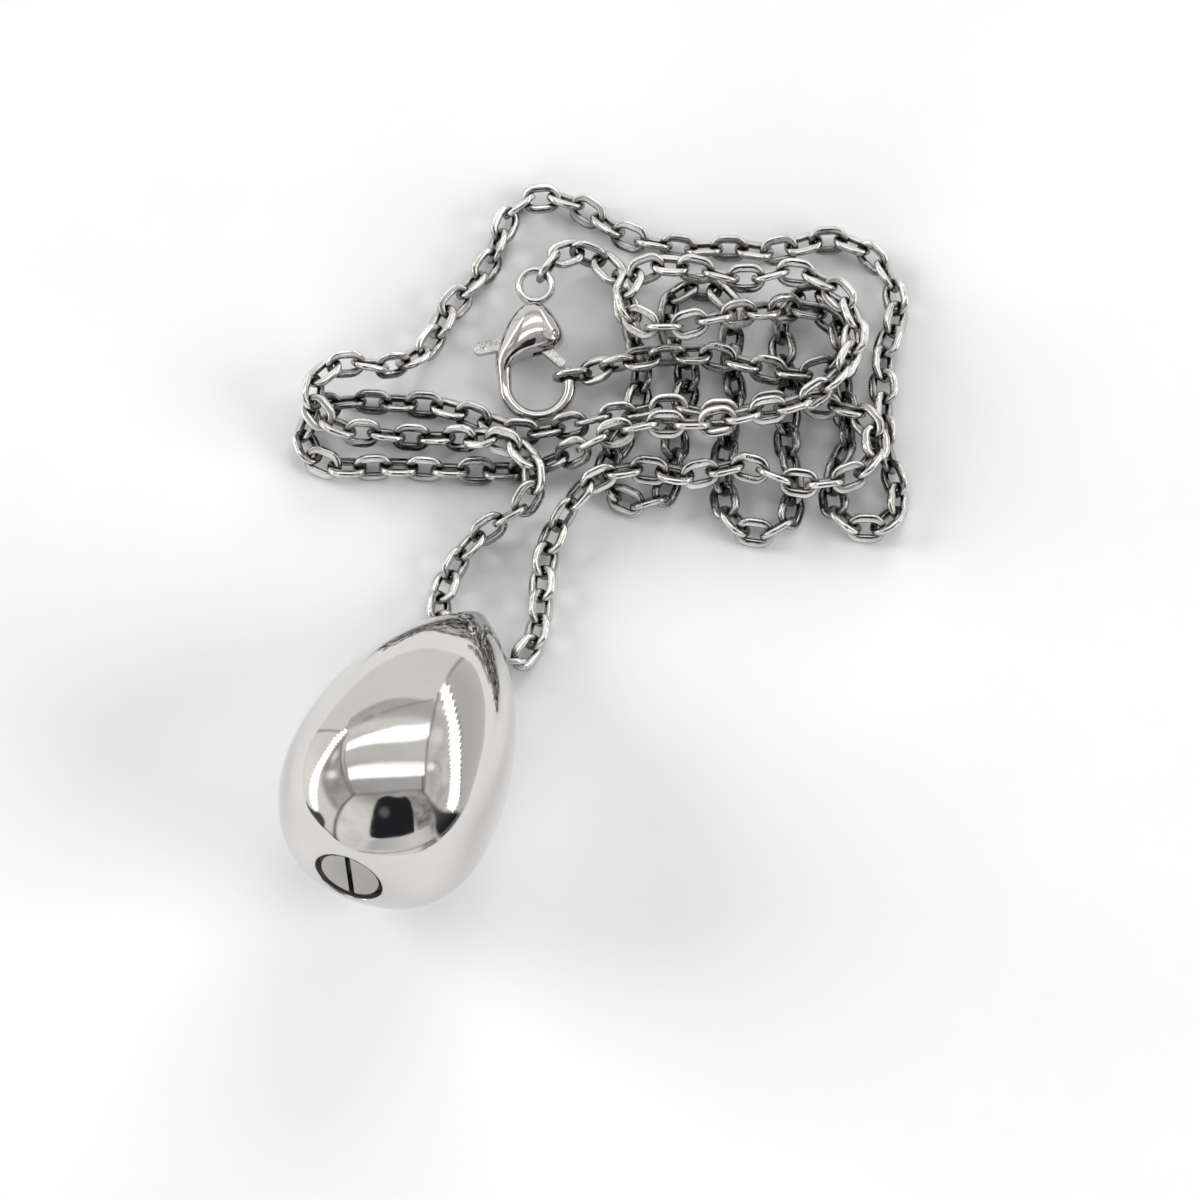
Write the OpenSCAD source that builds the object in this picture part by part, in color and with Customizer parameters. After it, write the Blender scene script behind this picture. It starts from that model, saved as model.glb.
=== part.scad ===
// Teardrop keepsake urn pendant, lying on a table with its clasped cable chain in a loose heap.
// Origin: middle of the lying object's box, on the table. +Z up, fat end of the pendant towards -Y.

/* [Pendant] */
// Width of the teardrop across its belly
body_w = 17.2; // [14:0.2:22]
// Thickness of the teardrop at its belly
body_t = 16.8; // [14:0.1:17.2]
// Length of the teardrop from its fat end to its tip
body_l = 27.1; // [25:0.1:32]
// Length of the blunt fat end, up to the widest place
belly_l = 8.8; // [8:0.1:9.6]
// Fullness of the fat end, where 2 is elliptic
belly_full = 2.15; // [2:0.1:3]
// Squareness of the teardrop's cross section, where 2 is elliptic
body_square = 2.4; // [2:0.05:2.6]
// Radius of the tip, seen from above
tip_r = 1.45; // [1:0.05:2]
// Thickness divided by width at the tip
tip_flat = 0.97; // [0.7:0.01:1]
// Thickness of the shell's wall
wall = 0.9; // [0.6:0.05:1.2]
// Solid length kept between the ash chamber and the tip
solid_tip_l = 8.4; // [7:0.1:10]
// Slope of the lying pendant, tip down
lean = 10.5; // [5:0.1:12]

/* [Fill screw] */
// Diameter of the plain bore that stands for the fill thread
bore_d = 5.6; // [4.8:0.1:6]
// Running gap round the screw, on each side
screw_gap = 0.05; // [0.03:0.01:0.08]
// Length of the screw
screw_l = 3.6; // [2.5:0.1:4.5]
// Depth of the screw's face below the end of the shell
screw_sunk = 0.65; // [0.2:0.05:0.8]
// Chamfer round the screw's face
screw_bevel = 0.35; // [0.2:0.05:0.5]
// Width of the screwdriver slot
slot_w = 0.7; // [0.4:0.05:1]
// Depth of the screwdriver slot
slot_d = 0.9; // [0.5:0.1:1.4]
// Turn of the screwdriver slot about the screw's axis
slot_turn = 94; // [0:1:180]
// Wall of the boss round the bore inside the shell
boss_wall = 0.9; // [0.6:0.1:1.4]

/* [Bail] */
// Diameter of the hole in the bail behind the tip
bail_hole_d = 3.3; // [3:0.1:3.8]
// Turn of the chain's way through the bail, towards the fat end on the right
bail_turn = 12; // [0:1:15]
// Thickness of the bail's metal round its hole
bail_wall = 0.7; // [0.5:0.05:0.9]
// Width of the bail along the chain
bail_w = 1; // [0.6:0.1:1.4]
// Distance of the bail's hole from the pendant's tip
bail_back = 1.2; // [0.9:0.05:2]

/* [Chain] */
// Outer length of a link
link_l = 3.3; // [3.2:0.02:3.4]
// Outer width of a link
link_w = 2.55; // [2.5:0.01:2.62]
// Width of a link's metal, seen on its flat face
link_wire = 0.42; // [0.4:0.01:0.48]
// Thickness of a link between its flat ground faces
link_t = 0.36; // [0.3:0.01:0.45]
// Play between two interlocked links
link_play = 0.36; // [0.3:0.01:0.42]
// Height of the chain's middle where it lies on the table
lay_z = 1.25; // [1.2:0.01:1.4]
// Rise from one layer of the heap to the next
lay_step = 2.45; // [2.4:0.01:2.6]

/* [Clasp] */
// Mean radius of the hook's loop
hook_r = 2.65; // [2.4:0.05:2.9]
// Diameter of the hook's metal
hook_d = 1.1; // [0.9:0.05:1.3]
// Radius of the head at its fat side
head_r = 1.7; // [1.4:0.05:1.9]
// Radius of the head at its lean side
head_side_r = 1.5; // [1.2:0.05:1.7]
// Radius of the head where the eye joins it
head_end_r = 0.7; // [0.5:0.05:0.9]
// Distance of the eye's middle from the middle of the loop
eye_y = 8.5; // [8.2:0.1:9]
// Outer radius of the eye
eye_r = 1.65; // [1.6:0.05:1.9]
// Radius of the hole in the eye
eye_hole_r = 1.1; // [1:0.05:1.2]
// Thickness of the eye
eye_t = 0.9; // [0.7:0.05:1]
// Slope of the lying clasp, loop down
clasp_tilt = 9.5; // [5:0.5:12]

/* [Clasp lever] */
// Thickness of the lever's plate
lever_t = 0.8; // [0.6:0.05:1]
// Gap beside the lever in its slot, on each side
lever_gap = 0.1; // [0.06:0.01:0.2]
// Radius of the rounded nose that shuts the hook
nose_r = 0.35; // [0.3:0.01:0.4]
// Gap between the nose and the hook's tip
nose_gap = 0.08; // [0.05:0.01:0.15]
// Reach of the thumb tab from the pin
tab_l = 4.6; // [3.8:0.1:5]
// Radius of the thumb tab's end
tab_r = 0.5; // [0.35:0.05:0.6]
// Diameter of the lever's pin
pin_d = 0.8; // [0.6:0.05:0.9]
// Length of the lever's pin
pin_l = 2.2; // [1.8:0.1:2.4]
// Gap round the pin in the head, on each side
pin_seat_gap = 0.03; // [0.02:0.01:0.05]
// Running gap round the pin in the lever, on each side
pin_gap = 0.05; // [0.03:0.01:0.08]
// Swing of the lever from shut to open
lever_swing = 30; // [20:1:32]

/* [Hidden] */

steel = [0.80, 0.79, 0.77];
dark_steel = [0.62, 0.61, 0.60];

// Middle of the lying object's box, measured from the point under the middle of the belly
box_mid = [3.58, 27.2];
// Turn of the heap's own X and Y against the pendant's axis
heap_turn = 22;

// Teardrop outline: a blunt belly, a flank arc and a tip arc, tangent to each other
belly_r = body_w / 2;
belly_flat = body_t / body_w;
chamber_end = body_l - belly_l - solid_tip_l;
tip_at = body_l - belly_l - tip_r;
flank_r = (pow(belly_r, 2) + pow(tip_at, 2) - pow(tip_r, 2)) / (2 * (belly_r - tip_r));
tip_turn = acos(tip_at / (flank_r - tip_r));
belly_steps = 14;
flank_steps = 16;
tip_steps = 6;
around = 48;

// One side of the outline, or of one set inside it, as [half width, distance along the axis]
function belly_arc(inset) =
    [for (i = [1:belly_steps])
        let (a = 90 * i / belly_steps)
        [(belly_r - inset) * pow(sin(a), 2 / belly_full), -(belly_l - inset) * pow(cos(a), 2 / belly_full)]];
function flank_arc(inset, end) =
    let (r = flank_r - inset)
    [for (i = [1:flank_steps])
        let (a = asin(end / r) * i / flank_steps)
        [r * cos(a) - flank_r + belly_r, r * sin(a)]];
function tip_arc() =
    [for (i = [1:tip_steps - 1])
        let (a = tip_turn * (1 - i / tip_steps))
        [tip_r * sin(a), tip_at + tip_r * cos(a)]];
outer_side = concat(belly_arc(0), flank_arc(0, tip_at + tip_r * cos(tip_turn)), tip_arc());
chamber_side = concat(belly_arc(wall), flank_arc(wall, chamber_end));

// Thickness divided by width at a distance along the axis
function flatness(s) = belly_flat - (belly_flat - tip_flat) * pow(max(0, s) / (tip_at + tip_r), 2);

// Place of the belly's middle across the heap, and its height above the table
belly_x = 0.4;
belly_z = max([for (p = outer_side) p[0] * flatness(p[1]) * cos(lean) + p[1] * sin(lean)]);
bail_r = bail_hole_d / 2 + bail_wall;
bail_s = body_l - belly_l - bail_back;
bail_z = (bail_r - belly_z + bail_s * sin(lean)) / cos(lean);
screw_r = bore_d / 2 - screw_gap;
boss_r = bore_d / 2 + boss_wall;
screw_face = -belly_l + screw_sunk;
screw_end = screw_face + screw_l;

// Chain: pitch of the links, and the few hand-chosen points of the heap as [x, y, layer]
pitch = link_l - 2 * link_wire - link_play;
ROUTE = [
    [11.93, 48.17, 0.58], [13.1, 50, 0.5], [15, 50.9, 0.3], [17.2, 49.9, 0.06], [18.6, 47.6, 0.03],
    [19.3, 43.5, 0], [20.2, 40, 0], [19.2, 35.5, 0], [17.1, 31.5, 0], [17.9, 28.9, 0],
    [19.9, 28, 0], [21.9, 28.9, 0], [22.7, 31.4, 0], [22.9, 35, 0], [24, 39.5, 0],
    [22.7, 42.8, 0], [22.1, 45.2, 0], [22.9, 47.2, 0], [24.9, 48, 0], [26.9, 47.2, 0],
    [27.7, 45.2, 0], [27.3, 42, 0], [27.8, 38, 0], [27, 34, 0], [26.6, 31, 0],
    [26.8, 28.2, 0], [27.6, 26.2, 0], [29.6, 25.4, 0], [31.6, 26.2, 0], [32.4, 28.2, 0],
    [32.3, 31, 0], [31.8, 34.5, 0], [32.3, 38, 0], [31.7, 41.5, 0], [31.5, 44.2, 0],
    [32.3, 46.4, 0], [34.3, 47.2, 0], [36.3, 46.4, 0], [37.1, 44.2, 0], [36.8, 41.5, 0],
    [36.5, 38, 0], [36.9, 34, 0], [35.7, 31, 0], [35.5, 28.6, 0], [36.3, 26.6, 0],
    [38.3, 25.8, 0], [40.2, 26.6, 0], [41, 28.8, 0], [40.2, 31.5, 0], [39.7, 34.5, 0],
    [39.9, 38, 0], [39.8, 41, 0], [40.5, 43.4, 0], [41.2, 45.5, 0], [40.8, 47.8, 0],
    [39.7, 50, 0], [37.9, 51.7, 0], [35.5, 52.3, 0], [33, 51.6, 0], [30.5, 51, 0],
    [27.5, 51.5, 0], [24.5, 51.3, 0], [21.5, 51.8, 0], [19, 52.4, 0], [17, 53.8, 0],
    [15, 55.4, 0], [12.3, 56.2, 0], [9.9, 55.4, 0], [8.6, 53, 0], [7.8, 50.3, 0],
    [6, 47.8, 0], [4.2, 45.7, 0], [3.2, 43.2, 0], [1.6, 41.2, 0.05], [-0.6, 40.1, 0.4],
    [-2.5, 39.8, 0.85], [-4.6, 39.6, 1.05], [-6.3, 38.3, 1.05], [-6.8, 36.3, 1.05], [-5.7, 34.5, 1],
    [-3.6, 33.8, 0.75], [-1, 34, 0.35], [1.2, 34.1, 0.05], [3.3, 34, 0.05], [5.6, 33.6, 0.4], [7.8, 32.9, 1],
    [9.7, 32.2, 1.15], [11.1, 31, 1.12], [11.5, 29.2, 0.95], [10.9, 27.5, 0.65], [9.1, 26.6, 0.3],
    [7.3, 25.7, 0.05], [5.3, 23.3, 0], [4.3, 21.1, 0], [3.7, 18.9, 0.08], [3.98, 17.05, 0.22],
    [5.25, 15.7, 0.4], [6.46, 14.93, 0.43], [7.65, 14.15, 0.4], [9.25, 13.9, 0.15], [11, 14.9, 0],
    [11.7, 17, 0], [12, 19.5, 0], [12.1, 22, 0], [12.5, 24.2, 0], [13.4, 26.3, 0.15],
    [14.7, 28, 0.6], [16.6, 29.4, 1.02], [20, 30.2, 1], [24, 29.5, 1], [28, 30.5, 1], [32, 29, 1], [35.2, 28.9, 1],
    [37.9, 29.9, 1], [39.2, 32.3, 1], [38.2, 34.8, 1], [35.5, 35.8, 1], [30.5, 36, 1],
    [26.5, 35, 1], [22.5, 35.7, 1], [19, 35, 1], [16.6, 34.8, 0.95], [14.4, 34.7, 0.45],
    [12.2, 34.5, 0.1], [9.8, 34.6, 0], [7.2, 35.6, 0], [4, 36.9, 0], [0, 37.2, 0],
    [-2.4, 37.4, 0], [-4.7, 37.3, 0], [-6.7, 36.3, 0], [-7.4, 34.2, 0], [-6.6, 32.2, 0],
    [-4.5, 31.4, 0], [0, 31.5, 0], [4, 31.2, 0], [8, 31.1, 0], [11, 31.2, 0],
    [14, 31.8, 0.55], [17.3, 32.5, 1.55], [21, 33, 2], [25, 33, 2], [29, 34, 2],
    [33, 35, 2], [36.3, 37.8, 2], [37.5, 41.5, 2], [36, 45, 2], [32.5, 46.8, 2],
    [28.5, 46, 2], [24.5, 47, 2], [21.5, 47.4, 2], [19.2, 46.3, 2], [18.6, 43.9, 2],
    [20, 42, 2], [22.5, 41.6, 2], [26, 42.6, 2], [30, 43.7, 1.6], [33, 44.6, 1.05],
    [35.6, 43.8, 1], [36.7, 41.6, 1], [35.6, 39.4, 1], [33, 38.6, 1], [29.5, 39.3, 1],
    [25, 40.5, 1], [22, 40.3, 1], [19.9, 40.1, 1.02], [17.8, 40, 0.6], [15.52, 39.88, 0.04],
    [13.42, 39.6, 0.02]];

// A smooth curve through the route's points, as a table of [length so far, x, y, z]
curve_steps = 10;
function lay_point(p) = [p[0], p[1], lay_z + lay_step * p[2]];
function blend(a, b, c, d, t) =
    (2 * b + (c - a) * t + (2 * a - 5 * b + 4 * c - d) * t * t + (3 * b - a - 3 * c + d) * t * t * t) / 2;
knots = concat([lay_point(2 * ROUTE[0] - ROUTE[1])], [for (p = ROUTE) lay_point(p)],
    [lay_point(2 * ROUTE[len(ROUTE) - 1] - ROUTE[len(ROUTE) - 2])]);
curve = concat([for (i = [1:len(knots) - 3])
        for (j = [0:curve_steps - 1])
            blend(knots[i - 1], knots[i], knots[i + 1], knots[i + 2], j / curve_steps)],
    [knots[len(knots) - 2]]);
run = [for (i = 0, s = 0; i < len(curve);
        i = i + 1, s = s + (i < len(curve) ? norm(curve[i] - curve[i - 1]) : 0)) s];
run_table = [for (k = [0:2]) [for (i = [0:len(curve) - 1]) [run[i], curve[i][k]]]];
chain_l = run[len(run) - 1];
link_count = round(chain_l / pitch);
link_step = chain_l / link_count;
function along(s) = [for (k = [0:2]) lookup(s, run_table[k])];

// Turn of a link about the chain: crosswise in turns, drifting slowly, upright at both ends
cross_turn = 45;
drift_turn = 12;
drift_step = 17;
end_links = 6;
function hand(i) = i % 2 == 0 ? 1 : -1;
function end_share(i) = max(0, 1 - min(i, link_count - 1 - i) / end_links);
function link_turn(i) = hand(i) * cross_turn + drift_turn * sin(drift_step * i)
    + (i < link_count / 2 ? 1 : hand(link_count - 1)) * cross_turn * end_share(i);

// Clasp: places in its own plane, with its loop's middle as origin
loop_at = [11.6, 38.9];
hook_from = 165;
hook_sweep = 230;
hook_tip = hook_r * [cos(hook_from + hook_sweep), sin(hook_from + hook_sweep)];
root_turn = 160;
root_r = 0.62;
root_at = hook_r * [cos(root_turn), sin(root_turn)];
head_at = [1, 4.3];
head_side_at = [-0.4, 5];
eye_at = [-0.2, eye_y];
eye_lap = 0.35;
head_end_at = [0, eye_y - eye_r - head_end_r + eye_lap];
pin_at = [-0.2, 3.9];
nose_dir = hook_from + hook_sweep + 90;
nose_at = hook_tip + (nose_gap + nose_r) * [cos(nose_dir), sin(nose_dir)];
tab_dir = 190;
tab_at = pin_at + tab_l * [cos(tab_dir), sin(tab_dir)];
hub_wall = 0.5;
hub_r = pin_d / 2 + hub_wall;
arm_r = 0.45;
round_fn = 48;
link_fn = 32;
ball_fn = 30;

// Lies in the frame of the whole part, from the frame under the middle of the belly
module lay() {
    translate([-box_mid[0], -box_mid[1], 0]) children();
}

// The teardrop's own frame: axis along +Y, belly's middle at 0
module on_belly() {
    lay() translate([belly_x, 0, belly_z]) rotate([-lean, 0, 0]) children();
}

module in_heap() {
    lay() rotate([0, 0, heap_turn]) children();
}

// The clasp's own plane: loop's middle at 0, eye towards +Y, head resting on the table
module on_clasp() {
    in_heap() translate([loop_at[0], loop_at[1] + head_at[1], head_r])
        rotate([clasp_tilt, 0, 0]) translate([0, -head_at[1], 0]) children();
}

// Sine or cosine of a place round a section, drawn out towards a square
function squared(v) = sign(v) * pow(abs(v), 2 / body_square);

// Closed solid of such sections round the teardrop's axis
module teardrop(side, inset, end) {
    last = len(side) * around + 1;
    points = concat([[0, inset - belly_l, 0]],
        [for (p = side) for (j = [0:around - 1])
            let (a = 360 * j / around, high = (p[0] + inset) * flatness(p[1]) - inset)
            [p[0] * squared(cos(a)), p[1], high * squared(sin(a))]],
        [[0, end, 0]]);
    faces = concat(
        [for (j = [0:around - 1]) [0, 1 + (j + 1) % around, 1 + j]],
        [for (i = [0:len(side) - 2]) for (j = [0:around - 1])
            let (a = 1 + i * around + j, b = 1 + i * around + (j + 1) % around)
            each [[a, b, a + around], [b, b + around, a + around]]],
        [for (j = [0:around - 1]) [last, last - around + j, last - around + (j + 1) % around]]);
    polyhedron(points, faces, convexity = 4);
}

// Round bar along the teardrop's axis
module axis_bar(r, from, to) {
    translate([0, from, 0]) rotate([-90, 0, 0]) cylinder(r = r, h = to - from, $fn = round_fn);
}

module pendant() {
    color(steel) on_belly() difference() {
        union() {
            teardrop(outer_side, 0, tip_at + tip_r);
            translate([0, bail_s, bail_z]) rotate([0, 90, 0])
                cylinder(r = bail_r, h = bail_w, center = true, $fn = round_fn);
        }
        difference() {
            teardrop(chamber_side, wall, chamber_end);
            axis_bar(boss_r, -belly_l, screw_end);
        }
        axis_bar(bore_d / 2, -belly_l - screw_l, screw_end + wall);
        translate([0, bail_s, bail_z]) rotate([0, 90, -bail_turn])
            cylinder(d = bail_hole_d, h = body_w, center = true, $fn = round_fn);
    }
}

module fill_screw() {
    color(steel) on_belly() difference() {
        translate([0, screw_face, 0]) rotate([-90, 0, 0]) rotate_extrude($fn = round_fn)
            polygon([[0, 0], [screw_r - screw_bevel, 0], [screw_r, screw_bevel], [screw_r, screw_l], [0, screw_l]]);
        translate([0, screw_face, 0]) rotate([0, slot_turn, 0])
            cube([2 * screw_r + slot_w, 2 * slot_d, slot_w], center = true);
    }
}

module stadium(l, w) {
    square([l - w, w], center = true);
    for (side = [-1, 1])
        translate([side * (l - w) / 2, 0]) circle(d = w, $fn = link_fn);
}

module link() {
    linear_extrude(link_t, center = true) difference() {
        stadium(link_l, link_w);
        stadium(link_l - 2 * link_wire, link_w - 2 * link_wire);
    }
}

// Sets a link between two joints of the chain, turned about the line between them
module between(from, to, turn) {
    ahead = (to - from) / norm(to - from);
    level = cross([0, 0, 1], ahead) / norm(cross([0, 0, 1], ahead));
    across = level * cos(turn) + cross(ahead, level) * sin(turn);
    face = cross(ahead, across);
    middle = (from + to) / 2;
    multmatrix([for (k = [0:2]) [ahead[k], across[k], face[k], middle[k]]]) children();
}

module chain() {
    color(steel) in_heap() for (i = [0:link_count - 1])
        between(along(i * link_step), along((i + 1) * link_step), link_turn(i)) link();
}

module ball(at, r) {
    translate([at[0], at[1], 0]) sphere(r = r, $fn = ball_fn);
}

// Flat bar round two discs
module flat_bar(from, to, r0, r1) {
    v = to - from;
    d = norm(v);
    b = acos((r0 - r1) / d);
    translate(from) rotate(atan2(v[1], v[0]) - 90) {
        circle(r = r0, $fn = round_fn);
        translate([0, d]) circle(r = r1, $fn = round_fn);
        polygon([[-r0 * sin(b), r0 * cos(b)], [0, 0], [r0 * sin(b), r0 * cos(b)],
            [r1 * sin(b), d + r1 * cos(b)], [0, d], [-r1 * sin(b), d + r1 * cos(b)]]);
    }
}

// Outline of the lever, or of the room that it needs
module lever_outline(more) {
    translate(pin_at) circle(r = hub_r + more, $fn = round_fn);
    flat_bar(pin_at, nose_at, arm_r + more, nose_r + more);
    flat_bar(pin_at, tab_at, arm_r + more, tab_r + more);
}

module turn_lever(a) {
    translate(pin_at) rotate(a) translate(-pin_at) children();
}

// Slot in the head that the lever swings in
module lever_slot() {
    reach = tab_l + tab_r;
    linear_extrude(lever_t + 2 * lever_gap, center = true) {
        lever_outline(lever_gap);
        turn_lever(-lever_swing) lever_outline(lever_gap);
        for (to = [nose_at, tab_at])
            translate(pin_at) rotate(atan2(to[1] - pin_at[1], to[0] - pin_at[0]))
                polygon([[0, 0], [reach * cos(lever_swing), -reach * sin(lever_swing)], [reach, 0]]);
    }
}

module clasp_head() {
    difference() {
        hull() {
            ball(head_at, head_r);
            ball(head_side_at, head_side_r);
            ball(head_end_at, head_end_r);
            ball(root_at, root_r);
        }
        lever_slot();
        translate([pin_at[0], pin_at[1], 0])
            cylinder(d = pin_d + 2 * pin_seat_gap, h = pin_l + 2 * pin_seat_gap, center = true, $fn = round_fn);
    }
}

module clasp_body() {
    color(steel) on_clasp() {
        clasp_head();
        rotate_extrude(angle = hook_sweep, start = hook_from, $fn = round_fn)
            translate([hook_r, 0]) circle(d = hook_d, $fn = round_fn);
        translate([eye_at[0], eye_at[1], 0]) difference() {
            cylinder(r = eye_r, h = eye_t, center = true, $fn = round_fn);
            cylinder(r = eye_hole_r, h = 2 * eye_t, center = true, $fn = round_fn);
        }
    }
}

module clasp_pin() {
    color(dark_steel) on_clasp() translate([pin_at[0], pin_at[1], 0])
        cylinder(d = pin_d, h = pin_l, center = true, $fn = round_fn);
}

module clasp_lever() {
    color(steel) on_clasp() linear_extrude(lever_t, center = true) difference() {
        lever_outline(0);
        translate(pin_at) circle(d = pin_d + 2 * pin_gap, $fn = round_fn);
    }
}

pendant();
fill_screw();
chain();
clasp_body();
clasp_pin();
clasp_lever();
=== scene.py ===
"""Looks of a teardrop keepsake urn pendant that lies on a white table with its chain in a loose heap."""

import math

import bmesh
import bpy
import numpy as np
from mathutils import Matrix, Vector


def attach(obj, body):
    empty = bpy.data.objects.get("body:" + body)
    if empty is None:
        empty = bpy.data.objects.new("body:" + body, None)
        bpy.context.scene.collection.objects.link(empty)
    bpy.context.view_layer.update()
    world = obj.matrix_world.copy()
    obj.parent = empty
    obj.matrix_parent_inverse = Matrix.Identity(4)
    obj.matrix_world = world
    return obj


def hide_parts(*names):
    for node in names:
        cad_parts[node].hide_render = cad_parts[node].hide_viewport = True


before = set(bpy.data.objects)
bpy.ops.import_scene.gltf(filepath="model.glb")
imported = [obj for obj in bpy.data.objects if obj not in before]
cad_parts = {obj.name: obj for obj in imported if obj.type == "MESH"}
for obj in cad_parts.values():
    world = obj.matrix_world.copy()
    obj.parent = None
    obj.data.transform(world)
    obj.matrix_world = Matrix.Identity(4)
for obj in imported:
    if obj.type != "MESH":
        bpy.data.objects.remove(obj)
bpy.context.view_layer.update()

MM = 0.001

# The heap's own X and Y are turned about Z and shifted, and the pendant leans with its tip down
HEAP_TURN = math.radians(22)
BOX_MID = np.array([3.58, 27.2, 0.0])
LEAN = math.radians(10.5)
BELLY_X = 0.4
CLASP_MID = np.array([0, 4.3, 0])
CLASP_TILT = math.radians(9.5)
CLASP_AT = np.array([11.6, 43.2, 1.7])


def turn_x(a):
    c, s = math.cos(a), math.sin(a)
    return np.array([[1, 0, 0], [0, c, -s], [0, s, c]])


def turn_z(a):
    c, s = math.cos(a), math.sin(a)
    return np.array([[c, -s, 0], [s, c, 0], [0, 0, 1]])


def from_belly(points):
    """Millimetres in the teardrop's own frame to millimetres in the part's frame."""
    return points @ turn_x(-LEAN).T + np.array([BELLY_X, 0, BELLY_Z]) - BOX_MID


def from_heap(points):
    return points @ turn_z(HEAP_TURN).T - BOX_MID


def from_clasp(points):
    """Millimetres in the clasp's plane, loop's middle at the origin, to the part's frame."""
    return from_heap((points - CLASP_MID) @ turn_x(CLASP_TILT).T + CLASP_AT)


def smooth(a, b, x):
    t = np.clip((np.asarray(x, float) - a) / (b - a), 0, 1)
    return t * t * (3 - 2 * t)


def spline(points, steps):
    """Smooth curve through points, with as many places between each pair as steps says."""
    p = np.array(points, float)
    p = np.vstack([2 * p[0] - p[1], p, 2 * p[-1] - p[-2]])
    out = []
    for i in range(1, len(p) - 2):
        a, b, c, d = p[i - 1 : i + 3]
        for j in range(steps):
            t = j / steps
            square, cube = 2 * a - 5 * b + 4 * c - d, 3 * b - a - 3 * c + d
            out.append((2 * b + (c - a) * t + square * t * t + cube * t**3) / 2)
    out.append(p[-2])
    return np.array(out)


def band(n, m):
    """Faces between n rings of m points each."""
    return [
        (i * m + j, i * m + (j + 1) % m, (i + 1) * m + (j + 1) % m, (i + 1) * m + j)
        for i in range(n - 1)
        for j in range(m)
    ]


def new_mesh(name, verts, faces, materials, sharp=None):
    me = bpy.data.meshes.new(name)
    me.from_pydata([tuple(v) for v in np.asarray(verts) * MM], [], faces)
    for m in materials:
        me.materials.append(m)
    me.shade_smooth()
    if sharp:
        me.set_sharp_from_angle(angle=math.radians(sharp))
    me.update()
    o = bpy.data.objects.new(name, me)
    bpy.context.collection.objects.link(o)
    return o


def face_outward(o, weld=None, thin=None):
    """Welds points closer than weld, drops faces thinner than thin, and turns all faces outward."""
    bm = bmesh.new()
    bm.from_mesh(o.data)
    if weld:
        bmesh.ops.remove_doubles(bm, verts=bm.verts, dist=weld)
    if thin:
        bmesh.ops.dissolve_degenerate(bm, edges=bm.edges, dist=thin)
    bmesh.ops.recalc_face_normals(bm, faces=bm.faces)
    bm.to_mesh(o.data)
    bm.free()


def shade(o, sharp):
    """Smooth shading, with edges sharper than an angle in degrees left hard."""
    o.data.shade_smooth()
    o.data.set_sharp_from_angle(angle=math.radians(sharp))


# ---------------------------------------------------------------- materials
def node(tree, kind, **inputs):
    n = tree.nodes.new(kind)
    for k, v in inputs.items():
        if k in n.inputs:
            s = n.inputs[k]
            if hasattr(v, "is_linked"):
                tree.links.new(v, s)
            else:
                s.default_value = v
    return n


def maths(tree, op, *args):
    n = tree.nodes.new("ShaderNodeMath")
    n.operation = op
    for i, a in enumerate(args):
        if isinstance(a, (int, float)):
            n.inputs[i].default_value = a
        else:
            tree.links.new(a, n.inputs[i])
    return n.outputs[0]


def ramp(tree, value, stops):
    n = tree.nodes.new("ShaderNodeValToRGB")
    r = n.color_ramp
    while len(r.elements) > 1:
        r.elements.remove(r.elements[-1])
    r.elements[0].position = stops[0][0]
    r.elements[0].color = (*stops[0][1], 1)
    for p, c in stops[1:]:
        r.elements.new(p).color = (*c, 1)
    tree.links.new(value, n.inputs[0])
    return n.outputs[0]


def metal(name, low, high, rough, bump, scratch=0.0, tone_scale=150.0):
    """Steel with a slow drift of tone between low and high, fine wear in its gloss and a slight unevenness.

    rough is the least and most roughness; bump is its grain's scale, strength and height in metres.
    """
    m = bpy.data.materials.new(name)
    m.use_nodes = True
    t = m.node_tree
    b = t.nodes["Principled BSDF"]
    b.inputs["Metallic"].default_value = 1.0
    place = t.nodes.new("ShaderNodeTexCoord").outputs["Object"]
    slow = node(t, "ShaderNodeTexNoise", Vector=place, Scale=tone_scale, Detail=3.0)
    t.links.new(ramp(t, slow.outputs[0], [(0.3, low), (0.7, high)]), b.inputs["Base Color"])
    fine = node(t, "ShaderNodeTexNoise", Vector=place, Scale=2600.0, Detail=4.0)
    gloss = node(t, "ShaderNodeMapRange", Value=fine.outputs[0])
    gloss.inputs["From Min"].default_value = 0.35
    gloss.inputs["From Max"].default_value = 0.7
    gloss.inputs["To Min"].default_value = rough[0]
    gloss.inputs["To Max"].default_value = rough[1]
    t.links.new(gloss.outputs[0], b.inputs["Roughness"])
    grain = node(t, "ShaderNodeTexNoise", Vector=place, Scale=bump[0], Detail=2.0)
    height = grain.outputs[0]
    if scratch:
        stretch = node(t, "ShaderNodeMapping", Vector=place)
        stretch.inputs["Rotation"].default_value = (0.3, 0.2, 0.9)
        stretch.inputs["Scale"].default_value = (9000, 260, 9000)
        lines = node(t, "ShaderNodeTexNoise", Vector=stretch.outputs[0], Scale=1.0, Detail=1.0)
        height = maths(t, "ADD", height, maths(t, "MULTIPLY", lines.outputs[0], scratch))
    dent = node(t, "ShaderNodeBump", Height=height)
    dent.inputs["Strength"].default_value = bump[1]
    dent.inputs["Distance"].default_value = bump[2]
    t.links.new(dent.outputs[0], b.inputs["Normal"])
    return m


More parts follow.
